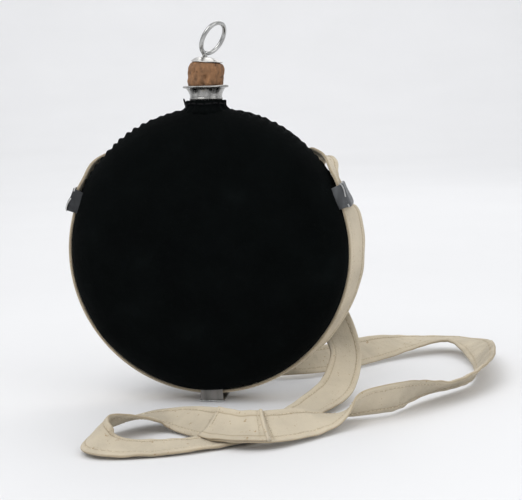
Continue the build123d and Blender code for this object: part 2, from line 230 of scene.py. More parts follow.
def colours(node, source, stops):
    """A colour ramp read by source: stops are (position, colour) pairs."""
    ramp = node("ShaderNodeValToRGB", Fac=source)
    band = ramp.color_ramp.elements
    while len(band) < len(stops):
        band.new(0.5)
    for element, (position, colour) in zip(band, stops):
        element.position = position
        element.color = colour
    return ramp.outputs["Color"]


def shade(colour, share):
    """The colour made darker or lighter."""
    return tuple(c * share for c in colour[:3]) + (1,)


def object_noise(node, scale, detail=4.0, stretch=None):
    """Noise fixed to the piece; stretch gives it a grain."""
    place = node("ShaderNodeTexCoord").outputs["Object"]
    if stretch:
        place = node("ShaderNodeMapping", {"Scale": stretch}, Vector=place).outputs["Vector"]
    noise = node("ShaderNodeTexNoise", {"Scale": scale, "Detail": detail}, Vector=place)
    return noise.outputs["Fac"]


def multiplied(node, tree, base, tint, share=1.0):
    """The base colour darkened by a tint."""
    mix = node("ShaderNodeMix", {"data_type": "RGBA", "blend_type": "MULTIPLY"})
    mix.inputs[0].default_value = share
    tree.links.new(base, mix.inputs[6])
    tree.links.new(tint, mix.inputs[7])
    return mix.outputs[2]


def bump(node, shader, tree, height, distance, strength, under=None):
    """Raises the surface by a height, over another bump if one is given."""
    settings = {"Distance": distance, "Strength": strength}
    made = node("ShaderNodeBump", settings, Height=height)
    if under:
        tree.links.new(under, made.inputs["Normal"])
    tree.links.new(made.outputs["Normal"], shader.inputs["Normal"])
    return made.outputs["Normal"]


def wool(colour):
    """Felted black wool: cloudy tone, soft lumps and fine fibres."""
    material, shader, tree, node = new_material("felted_wool", 0.95, sheen=0.008)
    shader.inputs["Sheen Roughness"].default_value = 0.6
    shader.inputs["Sheen Tint"].default_value = (0.5, 0.52, 0.55, 1)
    shader.inputs["Specular IOR Level"].default_value = 0.03
    patches = object_noise(node, 38, 6)
    stops = [(0.35, shade(colour, 0.7)), (0.6, colour), (0.8, shade(colour, 1.9))]
    tree.links.new(colours(node, patches, stops), shader.inputs["Base Color"])
    fibres = object_noise(node, 1500, 6, (1, 1, 0.45))
    under = bump(node, shader, tree, object_noise(node, 260, 5), 0.0009, 0.7)
    bump(node, shader, tree, fibres, 0.0004, 0.9, under)
    return material


def thread(name, colour):
    """Twisted sewing thread."""
    material, shader, tree, node = new_material(name, 0.9, sheen=0.02)
    shader.inputs["Specular IOR Level"].default_value = 0.1
    twist = object_noise(node, 2600, 3, (1, 1, 0.35))
    stops = [(0.3, shade(colour, 0.6)), (0.7, shade(colour, 1.25))]
    tree.links.new(colours(node, twist, stops), shader.inputs["Base Color"])
    bump(node, shader, tree, twist, 0.0003, 0.8)
    return material


def cotton(colour):
    """Cotton drill: a fine diagonal rib, slubs, seed flecks, uneven natural colour, and painted
    shade in the hem groove and along the edges.
    """
    material, shader, tree, node = new_material("cotton_drill", 0.88, sheen=0.12)
    shader.inputs["Sheen Roughness"].default_value = 0.5
    shader.inputs["Specular IOR Level"].default_value = 0.25
    cloth = node("ShaderNodeAttribute", {"attribute_name": "cloth"}).outputs["Vector"]
    rib_settings = {"Scale": 700.0, "Distortion": 0.8, "Detail": 2.0, "bands_direction": "DIAGONAL"}
    rib = node("ShaderNodeTexWave", rib_settings, Vector=cloth).outputs["Fac"]
    slub_place = node("ShaderNodeMapping", {"Scale": (60, 900, 1)}, Vector=cloth)
    slub_settings = {"Scale": 1.0, "Detail": 3.0}
    slubs = node("ShaderNodeTexNoise", slub_settings, Vector=slub_place.outputs["Vector"])
    patches = object_noise(node, 26, 5)
    tone = colours(node, patches, [
        (0.3, shade(colour, 0.8)), (0.5, colour), (0.7, shade(colour, 1.12)),
    ])
    flecks = object_noise(node, 420, 2)
    fleck_tone = colours(node, flecks, [(0.67, (1, 1, 1, 1)), (0.73, (0.72, 0.6, 0.47, 1))])
    rib_tone = colours(node, rib, [(0.1, (0.84, 0.83, 0.82, 1)), (0.6, (1, 1, 1, 1))])
    # Painted shade: darker in the hem's groove and along both edges of the strap.
    hem = node("ShaderNodeAttribute", {"attribute_name": "hem"}).outputs["Fac"]
    hem_painted_shade = colours(node, hem, [
        (0.60, (1, 1, 1, 1)), (0.665, (0.74, 0.69, 0.62, 1)), (0.72, (1.0, 0.99, 0.97, 1)),
        (0.95, (1, 1, 1, 1)), (1.0, (0.78, 0.73, 0.66, 1)),
    ])
    hemmed = multiplied(node, tree, tone, hem_painted_shade)
    flecked = multiplied(node, tree, hemmed, fleck_tone)
    ribbed = multiplied(node, tree, flecked, rib_tone, 0.4)
    tree.links.new(ribbed, shader.inputs["Base Color"])
    under = bump(node, shader, tree, object_noise(node, 170, 4), 0.0014, 0.65)
    under = bump(node, shader, tree, slubs.outputs["Fac"], 0.0003, 0.6, under)
    bump(node, shader, tree, rib, 0.00018, 0.6, under)
    return material


def cork_bark(colour):
    """Aged cork: dark grain and open pores."""
    material, shader, tree, node = new_material("cork_bark", 0.82)
    grain = object_noise(node, 300, 8, (1, 1, 0.5))
    pits = object_noise(node, 420, 3, (1, 1, 0.6))
    tone = colours(node, grain, [
        (0.30, shade(colour, 0.42)), (0.45, shade(colour, 0.85)),
        (0.58, colour), (0.75, shade(colour, 1.55)),
    ])
    holes = colours(node, pits, [(0.29, (0.2, 0.12, 0.08, 1)), (0.36, (1, 1, 1, 1))])
    tree.links.new(multiplied(node, tree, tone, holes), shader.inputs["Base Color"])
    under = bump(node, shader, tree, grain, 0.0012, 0.8)
    bump(node, shader, tree, pits, 0.001, 0.9, under)
    return material


def metal(name, colour, roughness, grain, wear):
    """Sheet or wire metal: cloudy colour, fine scratches and uneven polish."""
    material, shader, tree, node = new_material(name, roughness, metallic=1.0)
    clouds = object_noise(node, 160, 5, grain)
    scratches = object_noise(node, 900, 4, grain)
    stops = [(0.3, shade(colour, 1 - wear)), (0.55, colour), (0.8, shade(colour, 1 + wear * 0.4))]
    tree.links.new(colours(node, clouds, stops), shader.inputs["Base Color"])
    low = (max(roughness - 0.12, 0.05),) * 3 + (1,)
    high = (roughness + 0.18,) * 3 + (1,)
    tree.links.new(colours(node, scratches, [(0.3, low), (0.75, high)]), shader.inputs["Roughness"])
    bump(node, shader, tree, scratches, 0.0001, 0.35)
    return material


# ---- mesh helpers -----------------------------------------------------------------------
def add_mesh(name, points, faces):
    """A smooth piece in the scene, from its points and faces."""
    mesh = bpy.data.meshes.new(name)
    mesh.from_pydata([tuple(p) for p in points], [], faces)
    mesh.update()
    mesh.shade_smooth()
    piece = bpy.data.objects.new(name, mesh)
    bpy.context.scene.collection.objects.link(piece)
    return piece


def finish_piece(piece, material, body, slot_name, *nodes):
    """Gives a piece its material and lets it ride on its body; the slot name is not used."""
    piece.data.materials.append(material)
    if nodes:
        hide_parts(*nodes)
    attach(piece, body)


def add_modifier(piece, kind, **settings):
    modifier = piece.modifiers.new(kind.lower(), kind)
    for key, value in settings.items():
        setattr(modifier, key, value)


def sheet_faces(rows, columns, round_rows=False, round_columns=False):
    """Faces of a grid of points, stored row by row."""
    faces = []
    for row in range(rows if round_rows else rows - 1):
        below = (row + 1) % rows
        for column in range(columns if round_columns else columns - 1):
            beside = (column + 1) % columns
            faces.append((
                row * columns + column, row * columns + beside,
                below * columns + beside, below * columns + column,
            ))
    return faces


def turned(name, outline, segments, shape=None, round_outline=True):
    """Turns an outline of (radius, height) points about the spout axis; shape may move each."""
    points = []
    for radius, height in outline:
        for step in range(segments):
            turn = 2 * math.pi * step / segments
            r, z = shape(radius, height, turn) if shape else (radius, height)
            points.append((r * math.cos(turn), r * math.sin(turn), z))
    faces = sheet_faces(len(outline), segments, round_outline, True)
    piece = add_mesh(name, points, faces)
    merge_doubles(piece)
    return piece


def merge_doubles(piece):
    """Joins points that coincide and turns every face outward."""
    work = bmesh.new()
    work.from_mesh(piece.data)
    bmesh.ops.remove_doubles(work, verts=work.verts, dist=1e-6)
    bmesh.ops.recalc_face_normals(work, faces=work.faces)
    work.to_mesh(piece.data)
    work.free()
    piece.data.shade_smooth()


def turn_between(one, other):
    """The angle between two turns about an axis, 0 to pi."""
    return abs((one - other + math.pi) % (2 * math.pi) - math.pi)


def unit(vectors):
    """The same directions at length one."""
    return vectors / np.linalg.norm(vectors, axis=-1, keepdims=True)


def tube_parts(line, radius, sides=10, closed=False):
    """Points and faces of a round wire or thread along a line of points."""
    line = np.array(line, float)
    if closed:
        along = unit(np.roll(line, -1, 0) - np.roll(line, 1, 0))
    else:
        along = unit(np.gradient(line, axis=0))
    side = np.cross(along[0], (0.31, 0.52, 0.79))
    rings = []
    radii = np.broadcast_to(radius, len(line))
    for place, way, r in zip(line, along, radii):
        side = unit(side - way * side.dot(way))
        up = np.cross(way, side)
        turns = np.arange(sides) * 2 * math.pi / sides
        rings.append(place + r * (np.outer(np.cos(turns), side) + np.outer(np.sin(turns), up)))
    points = np.concatenate(rings)
    faces = sheet_faces(len(line), sides, closed, True)
    if not closed:
        last = (len(line) - 1) * sides
        faces.append(tuple(range(sides))[::-1])
        faces.append(tuple(range(last, last + sides)))
    return points, faces


def joined(parts):
    """One list of points and faces from several."""
    points, faces, count = [], [], 0
    for some_points, some_faces in parts:
        points.extend(some_points)
        faces.extend(tuple(index + count for index in face) for face in some_faces)
        count += len(some_points)
    return points, faces


def ripples(seed, waves, longest, shortest):
    """A fixed uneven surface: returns a function of two lengths, about -1 to 1."""
    draw = random.Random(seed)
    terms = []
    for _ in range(waves):
        length = math.exp(draw.uniform(math.log(shortest), math.log(longest)))
        turn = draw.uniform(0, math.pi)
        start = draw.uniform(0, 2 * math.pi)
        terms.append((math.cos(turn) / length, math.sin(turn) / length, start))

    def height(a, b):
        total = 0
        for across, along, start in terms:
            total = total + np.sin(2 * math.pi * (a * across + b * along) + start)
        return total / math.sqrt(waves)

    return height


# ---- sling ------------------------------------------------------------------------------
def read_spline(control_points):
    """Points along the smooth NURBS line that these control points steer."""
    curve = bpy.data.curves.new("route", "CURVE")
    curve.dimensions = "3D"
    spline = curve.splines.new("NURBS")
    spline.points.add(len(control_points) - 1)
    for knot, place in zip(spline.points, control_points):
        knot.co = (*place, 1)
    spline.order_u = 3
    spline.use_endpoint_u = True
    spline.resolution_u = 24
    holder = bpy.data.objects.new("route", curve)
    bpy.context.scene.collection.objects.link(holder)
    mesh = bpy.data.meshes.new_from_object(holder)
    line = np.array([vertex.co for vertex in mesh.vertices])
    bpy.data.objects.remove(holder)
    bpy.data.meshes.remove(mesh)
    bpy.data.curves.remove(curve)
    return line


def evenly(line, ways):
    """The line and its width directions at equal steps, with the length so far."""
    runs = np.linalg.norm(np.diff(line, axis=0), axis=1)
    so_far = np.concatenate([[0], np.cumsum(runs)])
    count = int(so_far[-1] / STRAP_STEP) + 1
    at = np.linspace(0, so_far[-1], count)
    places = np.stack([np.interp(at, so_far, line[:, k]) for k in range(3)], 1)
    widths = np.stack([np.interp(at, so_far, ways[:, k]) for k in range(3)], 1)
    return places, unit(widths), at


def strap_section(width, thickness):
    """Section of the hemmed strap as (across, height) points, once round."""
    shares = [
        (-1.0, 0.0), (-0.988, 0.5), (-0.955, 0.85), (-0.88, 1.0), (-0.76, 0.98), (-0.70, 0.84),
        (-0.665, 0.66), (-0.60, 0.72), (-0.45, 0.70), (-0.22, 0.68), (0.0, 0.70),
    ]
    shares = shares + [(-across, height) for across, height in shares[-2::-1]]
    top = [(across * width / 2, height * thickness / 2) for across, height in shares]
    return np.array(top + [(across, -height) for across, height in top[-2:0:-1]])


def strap_frame(places, widths):
    """The directions along the strap, across it and out of its face."""
    along = unit(np.gradient(places, axis=0))
    across = unit(widths - along * (widths * along).sum(1, keepdims=True))
    return along, across, np.cross(across, along)


def strap_mesh(name, places, widths, at, lift, width=STRAP_WIDTH, thickness=STRAP_THICKNESS):
    """The hemmed strap along places; lift(at, across) moves its surface off its face."""
    section = strap_section(width, thickness)
    across, facing = strap_frame(places, widths)[1:]
    edge = ripples(11, 7, 0.12, 0.02)
    stretch = 1 + 0.012 * edge(at, 0 * at)
    v = section[:, 0][None, :] * stretch[:, None]
    raised = section[:, 1][None, :] + lift(at[:, None], v)
    points = places[:, None, :] + v[..., None] * across[:, None, :]
    points = points + raised[..., None] * facing[:, None, :]
    count = len(section)
    faces = sheet_faces(len(places), count, False, True)
    faces.append(tuple(range(count))[::-1])
    last = (len(places) - 1) * count
    faces.append(tuple(range(last, last + count)))
    piece = add_mesh(name, points.reshape(-1, 3), faces)
    layer = piece.data.attributes.new("cloth", "FLOAT_VECTOR", "POINT")
    cloth = np.zeros((len(places), count, 3), np.float32)
    cloth[..., 0] = at[:, None]
    cloth[..., 1] = v + np.where(section[:, 1] < 0, 0.05, 0)[None, :]
    layer.data.foreach_set("vector", cloth.ravel())
    # Share of the half width, which the cotton reads for its painted shade at the hem groove and
    # edges.
    share = np.abs(section[:, 0]) / np.abs(section[:, 0]).max()
    hem = piece.data.attributes.new("hem", "FLOAT", "POINT")
    hem.data.foreach_set("value", np.tile(share, len(places)).astype(np.float32))
    return piece


def stitch_parts(middle, way, facing, length, radius):
    """One stitch: a short thread that dips into the cloth at both ends."""
    shares = np.array([-0.5, -0.3, 0, 0.3, 0.5])
    dip = np.array([-0.9, 0.1, 0.45, 0.1, -0.9]) * radius
    line = middle + np.outer(shares * length, way) + np.outer(dip, facing)
    return tube_parts(line, radius * np.array([0.6, 1, 1.05, 1, 0.6]), 5)


def hem_stitches(name, places, widths, at, lift, settings):
    """Rows of stitches beside both edges, on both faces."""
    along, across, facing = strap_frame(places, widths)
    height = STRAP_THICKNESS * 0.37
    rows = []
    pitch = settings.stitch_pitch
    for number in range(1, int(at[-1] / pitch)):
        here = number * pitch
        index = min(int(np.searchsorted(at, here)), len(at) - 1)
        for edge in (-1, 1):
            v = edge * (STRAP_WIDTH / 2 - settings.hem_width)
            rise = float(lift(at[index], v))
            for side in (1, -1):
                middle = places[index] + v * across[index] + (rise + side * height) * facing[index]
                rows.append(stitch_parts(
                    middle, along[index], side * facing[index], pitch * 0.72, 0.00028
                ))
    return add_mesh(name, *joined(rows))


def free_lift():
    """How the free sling's surface waves and cups."""
    waves = ripples(3, 14, 0.05, 0.011)
    cup = ripples(5, 5, 0.5, 0.14)

    def lift(at, across):
        share = across / (STRAP_WIDTH / 2)
        return 0.0003 * waves(at, across * 1.2) + 0.0008 * cup(at, 0 * at) * (share**2 - 0.4)

    return lift


def sling_route():
    """The free sling's middle line, its width directions and the length so far."""
    line = read_spline([place for place, way in SLING_ROUTE])
    ways = read_spline([way for place, way in SLING_ROUTE])
    return evenly(line, ways)


def rim_line():
    """The held stretch, from the right loop under the body to the left loop."""
    start = LOOP_ANGLES["right"] - math.radians(1)
    end = LOOP_ANGLES["left"] - 2 * math.pi + math.radians(1)
    count = int((start - end) * STRAP_RADIUS / STRAP_STEP)
    turns = np.linspace(start, end, count)
    places = np.stack([
        STRAP_RADIUS * np.cos(turns), 0 * turns, MIDDLE_Z + STRAP_RADIUS * np.sin(turns)
    ], 1)
    widths = np.tile((0.0, 1.0, 0.0), (count, 1))
    return places, widths, (start - turns) * STRAP_RADIUS


def rim_lift(settings):
    """The sling lies on the rim at the loops and flares off it between them."""
    waves = ripples(8, 10, 0.06, 0.014)
    start = LOOP_ANGLES["right"]
    loops = [0, (start - LOOP_ANGLES["bottom"]) * STRAP_RADIUS]
    loops.append((start - LOOP_ANGLES["left"] + 2 * math.pi) * STRAP_RADIUS)

    def lift(at, across):
        right = np.clip((at - loops[0] - 0.006) / (loops[1] - loops[0] - 0.014), 0, 1)
        left = np.clip((at - loops[1] - 0.008) / (loops[2] - loops[1] - 0.014), 0, 1)
        right_flare = np.abs(np.sin(math.pi * right**0.4)) ** 0.7 * (1 - 0.75 * right)
        left_flare = 0.4 * np.abs(np.sin(math.pi * left)) ** 0.8
        flare = settings.flare * (right_flare + left_flare)
        share = np.clip((across + STRAP_WIDTH / 2) / STRAP_WIDTH, 0, 1)
        tuck = 0.0014 * np.clip(-2 * across / STRAP_WIDTH, 0, 1) ** 1.5
        loose = np.minimum(flare / 0.004, 1) * share
        return tuck - flare * share**1.5 + 0.0003 * waves(at, across) * loose

    return lift


# ---- operators --------------------------------------------------------------------------
class CANTEEN_OT_stage(bpy.types.Operator):
    """Make the floor, the soft lights and the camera"""

    bl_idname = "canteen.stage"
    bl_label = "Stage and camera"

    def execute(self, context):
        settings = context.scene.canteen_stage
        outline = [
            (0.0, 0), (0.5, 0), (1.5, 0), (3.0, 0),
            (4.0, 0.12), (4.8, 0.6), (5.2, 1.4), (5.3, 3.0),
        ]
        floor = turned("floor", outline, 64, None, False)
        material, shader, tree, node = new_material("paper_floor", 0.75)
        tone = settings.floor_colour
        stops = [(0.3, shade(tone, 0.985)), (0.7, shade(tone, 1.01))]
        tree.links.new(colours(node, object_noise(node, 3), stops), shader.inputs["Base Color"])
        floor.data.materials.append(material)
        add_modifier(floor, "SUBSURF", levels=1, render_levels=2)
        world = bpy.data.worlds.new("soft_surround")
        world.use_nodes = True
        sky = world.node_tree.nodes["Background"]
        sky.inputs["Color"].default_value = (0.98, 0.99, 1, 1)
        sky.inputs["Strength"].default_value = settings.sky_strength
        context.scene.world = world
        middle = (0, 0, MIDDLE_Z)
        lights = [
            ("key", (-0.7, -0.9, 1.5), middle, 1.3, 12),
            ("fill", (1.3, -0.8, 0.9), middle, 1.2, 5),
            ("back", (0.2, 1.4, 1.5), middle, 1.6, 8),
            ("backdrop", (-0.4, 2.8, 2.4), (-0.6, 5.0, 0.4), 2.5, 22),
        ]
        for name, place, target, size, power in lights:
            light = bpy.data.lights.new(name, "AREA")
            light.size = size
            light.energy = power
            lamp = bpy.data.objects.new(name, light)
            lamp.location = place
            aim = Vector(target) - Vector(place)
            lamp.rotation_euler = aim.to_track_quat("-Z", "Y").to_euler()
            context.scene.collection.objects.link(lamp)
        context.scene.view_settings.view_transform = "Standard"
        self.place_camera(context)
        return {"FINISHED"}

    def place_camera(self, context):
        """Stands in front and a little to the right, looking slightly down."""
        yaw, pitch, roll = math.radians(7.65), math.radians(6.96), math.radians(-1.486)
        forward = Vector((
            -math.sin(yaw) * math.cos(pitch), math.cos(yaw) * math.cos(pitch), -math.sin(pitch)
        ))
        level = Vector((math.cos(yaw), math.sin(yaw), 0))
        upright = level.cross(forward)
        right = level * math.cos(roll) + upright * math.sin(roll)
        up = upright * math.cos(roll) - level * math.sin(roll)
        camera = bpy.data.objects.new("camera", bpy.data.cameras.new("camera"))
        camera.data.sensor_width = 36
        camera.data.lens = 85.0
        camera.data.clip_start = 0.02
        turn = Matrix((right, up, -forward)).transposed().to_4x4()
        camera.matrix_world = Matrix.Translation((0.1467, -0.8321, 0.2059)) @ turn
        context.scene.collection.objects.link(camera)
        context.scene.camera = camera


class CANTEEN_OT_sling(bpy.types.Operator):
    """Lay the free sling with its hem stitches and its sewn lap"""

    bl_idname = "canteen.sling"
    bl_label = "Free sling"

    def execute(self, context):
        settings = context.scene.canteen_sling
        fabric = cotton(settings.cotton_colour)
        cord_thread = thread("cotton_thread", shade(settings.cotton_colour, 1.12))
        places, widths, at = sling_route()
        lift = free_lift()
        sling = strap_mesh("sling_free_cloth", places, widths, at, lift)
        finish_piece(sling, fabric, "canteen", "cotton", "sling_free")
        stitches = hem_stitches("sling_hem_stitches", places, widths, at, lift, settings)
        finish_piece(stitches, cord_thread, "canteen", "cotton_thread")
        lap_pieces = self.sew_lap(places, widths, at, lift, fabric, cord_thread)
        self.hold_on_rim(settings, fabric, cord_thread)
        return {"FINISHED"}

    def sew_lap(self, places, widths, at, lift, fabric, cord_thread):
        """The end that is sewn down over the other end, its raised seam and its threads."""
        near = int(np.argmin(np.linalg.norm(places - np.array(LAP_START), axis=1)))
        far = int(np.argmin(np.linalg.norm(places - np.array(LAP_END), axis=1)))
        span = slice(near, far + 1)
        along, across, facing = strap_frame(places, widths)
        rise = STRAP_THICKNESS * 0.8

        def over(here, v):
            share = (here - at[near]) / (at[far] - at[near])
            dog_ear = 0.0012 * np.clip(1 - share * 4, 0, 1) * np.clip(v / 0.01, 0, 1)
            return lift(here, v) + rise + dog_ear

        lap = strap_mesh(
            "sling_lap_cloth", places[span], widths[span], at[span], over,
            STRAP_WIDTH * 0.985, 0.0016,
        )
        finish_piece(lap, fabric, "canteen", "cotton", "sling_lap")
        seam_at = far - 1
        ridge = []
        for share in np.linspace(-0.49, 0.49, 25):
            v = share * STRAP_WIDTH
            ridge.append(
                places[seam_at] + v * across[seam_at]
                + (rise + 0.0006 + float(lift(at[seam_at], v))) * facing[seam_at]
            )
        seam = add_mesh("sling_lap_seam", *tube_parts(ridge, 0.0011, 8))
        finish_piece(seam, fabric, "canteen", "cotton")
        threads = []
        rows = [(near + 2, 1.0), (far - 3, 1.0), (far + 1, 0.55)]
        for index, lift_share in rows:
            for number in range(9):
                v = (number - 4) / 4 * STRAP_WIDTH * 0.43
                height = rise * lift_share + 0.0008 + float(lift(at[index], v))
                middle = places[index] + v * across[index] + height * facing[index]
                threads.append(stitch_parts(middle, across[index], facing[index], 0.0021, 0.0003))
        draw = random.Random(21)
        for _ in range(70):
            v = draw.uniform(-0.49, 0.49) * STRAP_WIDTH
            start = places[near] + v * across[near] + (rise + 0.0002) * facing[near]
            drift = -along[near] * draw.uniform(0.0006, 0.0028)
            drift = drift + across[near] * draw.uniform(-1, 1) * 0.0008
            sag = -facing[near] * draw.uniform(0, 0.0006)
            line = [start + along[near] * 0.0006, start + drift * 0.5, start + drift + sag]
            threads.append(tube_parts(line, 0.00012, 4))
        sewn = add_mesh("sling_lap_threads", *joined(threads))
        finish_piece(sewn, cord_thread, "canteen", "cotton_thread", "lap_stitching")
        return [lap, seam, sewn]

    def hold_on_rim(self, settings, fabric, cord_thread):
        """The stretch of the sling that the three loops hold on the rim."""
        places, widths, at = rim_line()
        lift = rim_lift(settings)
        held = strap_mesh("sling_rim_cloth", places, widths, at, lift)
        finish_piece(held, fabric, "canteen", "cotton", "sling_rim")
        stitches = hem_stitches("sling_rim_stitches", places, widths, at, lift, settings)
        finish_piece(stitches, cord_thread, "canteen", "cotton_thread")


class CANTEEN_OT_covers(bpy.types.Operator):
    """Stretch the two wool halves over the body and whip them together at the rim"""

    bl_idname = "canteen.covers"
    bl_label = "Wool cover"

    def execute(self, context):
        settings = context.scene.canteen_cover
        self.settings = settings
        self.gathers = round(2 * math.pi * COVER_RADIUS / settings.gather_pitch)
        fabric = wool(settings.wool_colour)
        halves = [("cover_front", "front_cover", -1), ("cover_back", "back_cover", 1)]
        for name, node, side in halves:
            piece = self.make_half(name, side)
            finish_piece(piece, fabric, "canteen", "wool", node)
        self.make_stitches()
        self.make_collar(fabric)
        self.make_nap(fabric)
        return {"FINISHED"}

    def outline(self):
        """Radius, depth and the outward direction in the section, from seam to middle."""
        shoulder = SHELL_SHOULDER + COVER_RADIUS - SHELL_RADIUS
        rim = SHELL_RADIUS - SHELL_SHOULDER
        reach = SHELL_HALF_DEPTH - SHELL_SHOULDER
        straight = 0.003
        face_y = (reach**2 - rim**2 - straight**2) / (2 * (reach - straight))
        face = SHELL_HALF_DEPTH - face_y + COVER_RADIUS - SHELL_RADIUS
        turn = math.atan2(straight - face_y, rim)
        rows = [(COVER_RADIUS, y, 0.0) for y in np.linspace(0.0, straight, 5)[:-1]]
        for angle in np.linspace(0, turn, 34):
            depth = straight + shoulder * math.sin(angle)
            rows.append((rim + shoulder * math.cos(angle), depth, angle))
        for angle in np.linspace(turn, math.pi / 2, 40)[1:]:
            rows.append((face * math.cos(angle), face_y + face * math.sin(angle), angle))
        return np.array(rows)

    def make_half(self, name, side):
        """One half: gathered at the seam, puffed over the top, pressed in under the sling."""
        rows = self.outline()
        count = self.gathers * 7
        turns = np.arange(count) * 2 * math.pi / count
        uneven = ripples(31 + side, 6, 1.6, 0.25)
        billow = ripples(41 + side, 9, 0.09, 0.03)
        radius, depth, slope = (rows[:, k][:, None] for k in range(3))
        off_seam = np.maximum(depth, 0)
        unevenness = (1 + 0.45 * uneven(turns, 0 * turns))[None, :]
        depth_of_gather = self.settings.gather_depth * unevenness
        pull = 0.5 - 0.5 * np.cos(self.gathers * turns)[None, :]
        folds = np.cos(self.gathers * turns + 0.8 * uneven(turns * 3, 0 * turns))[None, :]
        free = self.free_of_strap(turns)[None, :]
        near = np.exp(-((off_seam / 0.0036) ** 2))
        shoulder = np.exp(-(((off_seam - 0.0055) / 0.0065) ** 2))
        swell = -depth_of_gather * pull * near * 1.9
        swell = swell + shoulder * free * (self.settings.puff + 0.65 * depth_of_gather * folds)
        under_strap = (1 - free) / (1 + np.exp((off_seam - 0.0145) / 0.0012))
        swell = swell * (1 - 0.7 * under_strap) - 0.0011 * under_strap
        x = radius * np.cos(turns)[None, :]
        z = radius * np.sin(turns)[None, :]
        swell = swell + 0.00035 * billow(x, z)
        seam_gap = 0.00035 * np.exp(-((off_seam / 0.001) ** 2))
        r = radius + swell * np.cos(slope)
        y = depth + swell * np.sin(slope) + seam_gap
        y = np.maximum(y, 0.00015)
        points = np.stack([
            r * np.cos(turns)[None, :], side * (y + 0 * r), MIDDLE_Z + r * np.sin(turns)[None, :]
        ], 2)
        faces = sheet_faces(len(rows), count, False, True)
        piece = add_mesh(name, points.reshape(-1, 3), faces)
        merge_doubles(piece)
        self.open_neck(piece)
        add_modifier(piece, "SOLIDIFY", thickness=0.001, offset=-1)
        return piece

    def free_of_strap(self, turns):
        """0 where the held sling presses on the rim, 1 over the top."""
        from_top = turn_between(turns, math.pi / 2)
        return 1 / (1 + np.exp((from_top - math.radians(66)) / 0.03))

    def open_neck(self, piece):
        """Cuts the cloth away where the spout comes through."""
        work = bmesh.new()
        work.from_mesh(piece.data)
        hole = 0.0122
        inside = []
        for face in work.faces:
            middle = face.calc_center_median()
            if middle.xy.length < hole and middle.z > MIDDLE_Z:
                inside.append(face)
        bmesh.ops.delete(work, geom=inside, context="FACES")
        work.to_mesh(piece.data)
        work.free()
        piece.data.shade_smooth()

    def make_stitches(self):
        """Whip stitches over the seam, one in each gather."""
        draw = random.Random(17)
        parts = []
        loop_room, neck_room = 0.115, 0.165
        keep_off = [(angle, loop_room) for angle in LOOP_ANGLES.values()]
        keep_off.append((math.pi / 2, neck_room))
        for number in range(self.gathers):
            turn = 2 * math.pi * (number + 0.5) / self.gathers
            if any(turn_between(turn, angle) < room for angle, room in keep_off):
                continue
            slant = draw.uniform(0.012, 0.02)
            line = []
            for share in np.linspace(-1, 1, 9):
                y = share * 0.0031
                r = COVER_RADIUS - 0.0011 + 0.0009 * math.cos(share * math.pi / 2)
                r = r - 0.0006 * abs(share) ** 3
                here = turn + slant * share
                line.append((r * math.cos(here), y, MIDDLE_Z + r * math.sin(here)))
            parts.append(tube_parts(line, 0.00042, 6))
        piece = add_mesh("cover_whip_stitches", *joined(parts))
        linen = thread("linen_thread", (0.012, 0.012, 0.013, 1))
        finish_piece(piece, linen, "canteen", "thread", "cover_stitching")

    def make_collar(self, fabric):
        """The cover's cloth gathered up round the foot of the neck."""
        foot_z = MIDDLE_Z + COVER_RADIUS
        inner = 0.0119
        outline = [
            (inner, foot_z - 0.006), (inner, foot_z), (inner, foot_z + 0.0044),
            (inner + 0.0004, foot_z + 0.0056), (inner + 0.0012, foot_z + 0.0058),
            (inner + 0.0018, foot_z + 0.0050),
            (inner + 0.0015, foot_z + 0.0032), (inner + 0.0017, foot_z + 0.0016),
            (inner + 0.0029, foot_z + 0.0003), (inner + 0.0046, foot_z - 0.0012),
            (inner + 0.0056, foot_z - 0.0040), (inner + 0.0030, foot_z - 0.0060),
        ]
        creases = ripples(51, 5, 1.4, 0.4)

        def gathered(radius, height, turn):
            out = max(radius - inner, 0) / 0.0056
            crease = math.cos(17 * turn + 0.9 * float(creases(turn, 0.0)))
            return radius + 0.00042 * crease * min(1, out * 3), height + 0.00035 * crease * out

        collar = turned("cover_collar_cloth", outline, 136, gathered)
        add_modifier(collar, "SUBSURF", levels=1, render_levels=1)
        finish_piece(collar, fabric, "canteen", "wool", "cover_collar")
        loop = []
        for share in np.linspace(0, 1, 22):
            angle = math.radians(188) + share * math.radians(26)
            rise = math.sin(share * math.pi)
            r = 0.0138 + 0.0016 * rise
            loop.append((r * math.cos(angle), r * math.sin(angle), foot_z + 0.0006 + 0.0062 * rise))
        band = [
            (0.0134 * math.cos(t), 0.0134 * math.sin(t), foot_z + 0.0034 + 0.0003 * math.sin(5 * t))
            for t in np.arange(64) * 2 * math.pi / 64
        ]
        parts = [tube_parts(loop, 0.0004, 6), tube_parts(band, 0.00045, 6, True)]
        piece = add_mesh("collar_thread", *joined(parts))
        finish_piece(piece, bpy.data.materials["linen_thread"], "canteen", "thread")

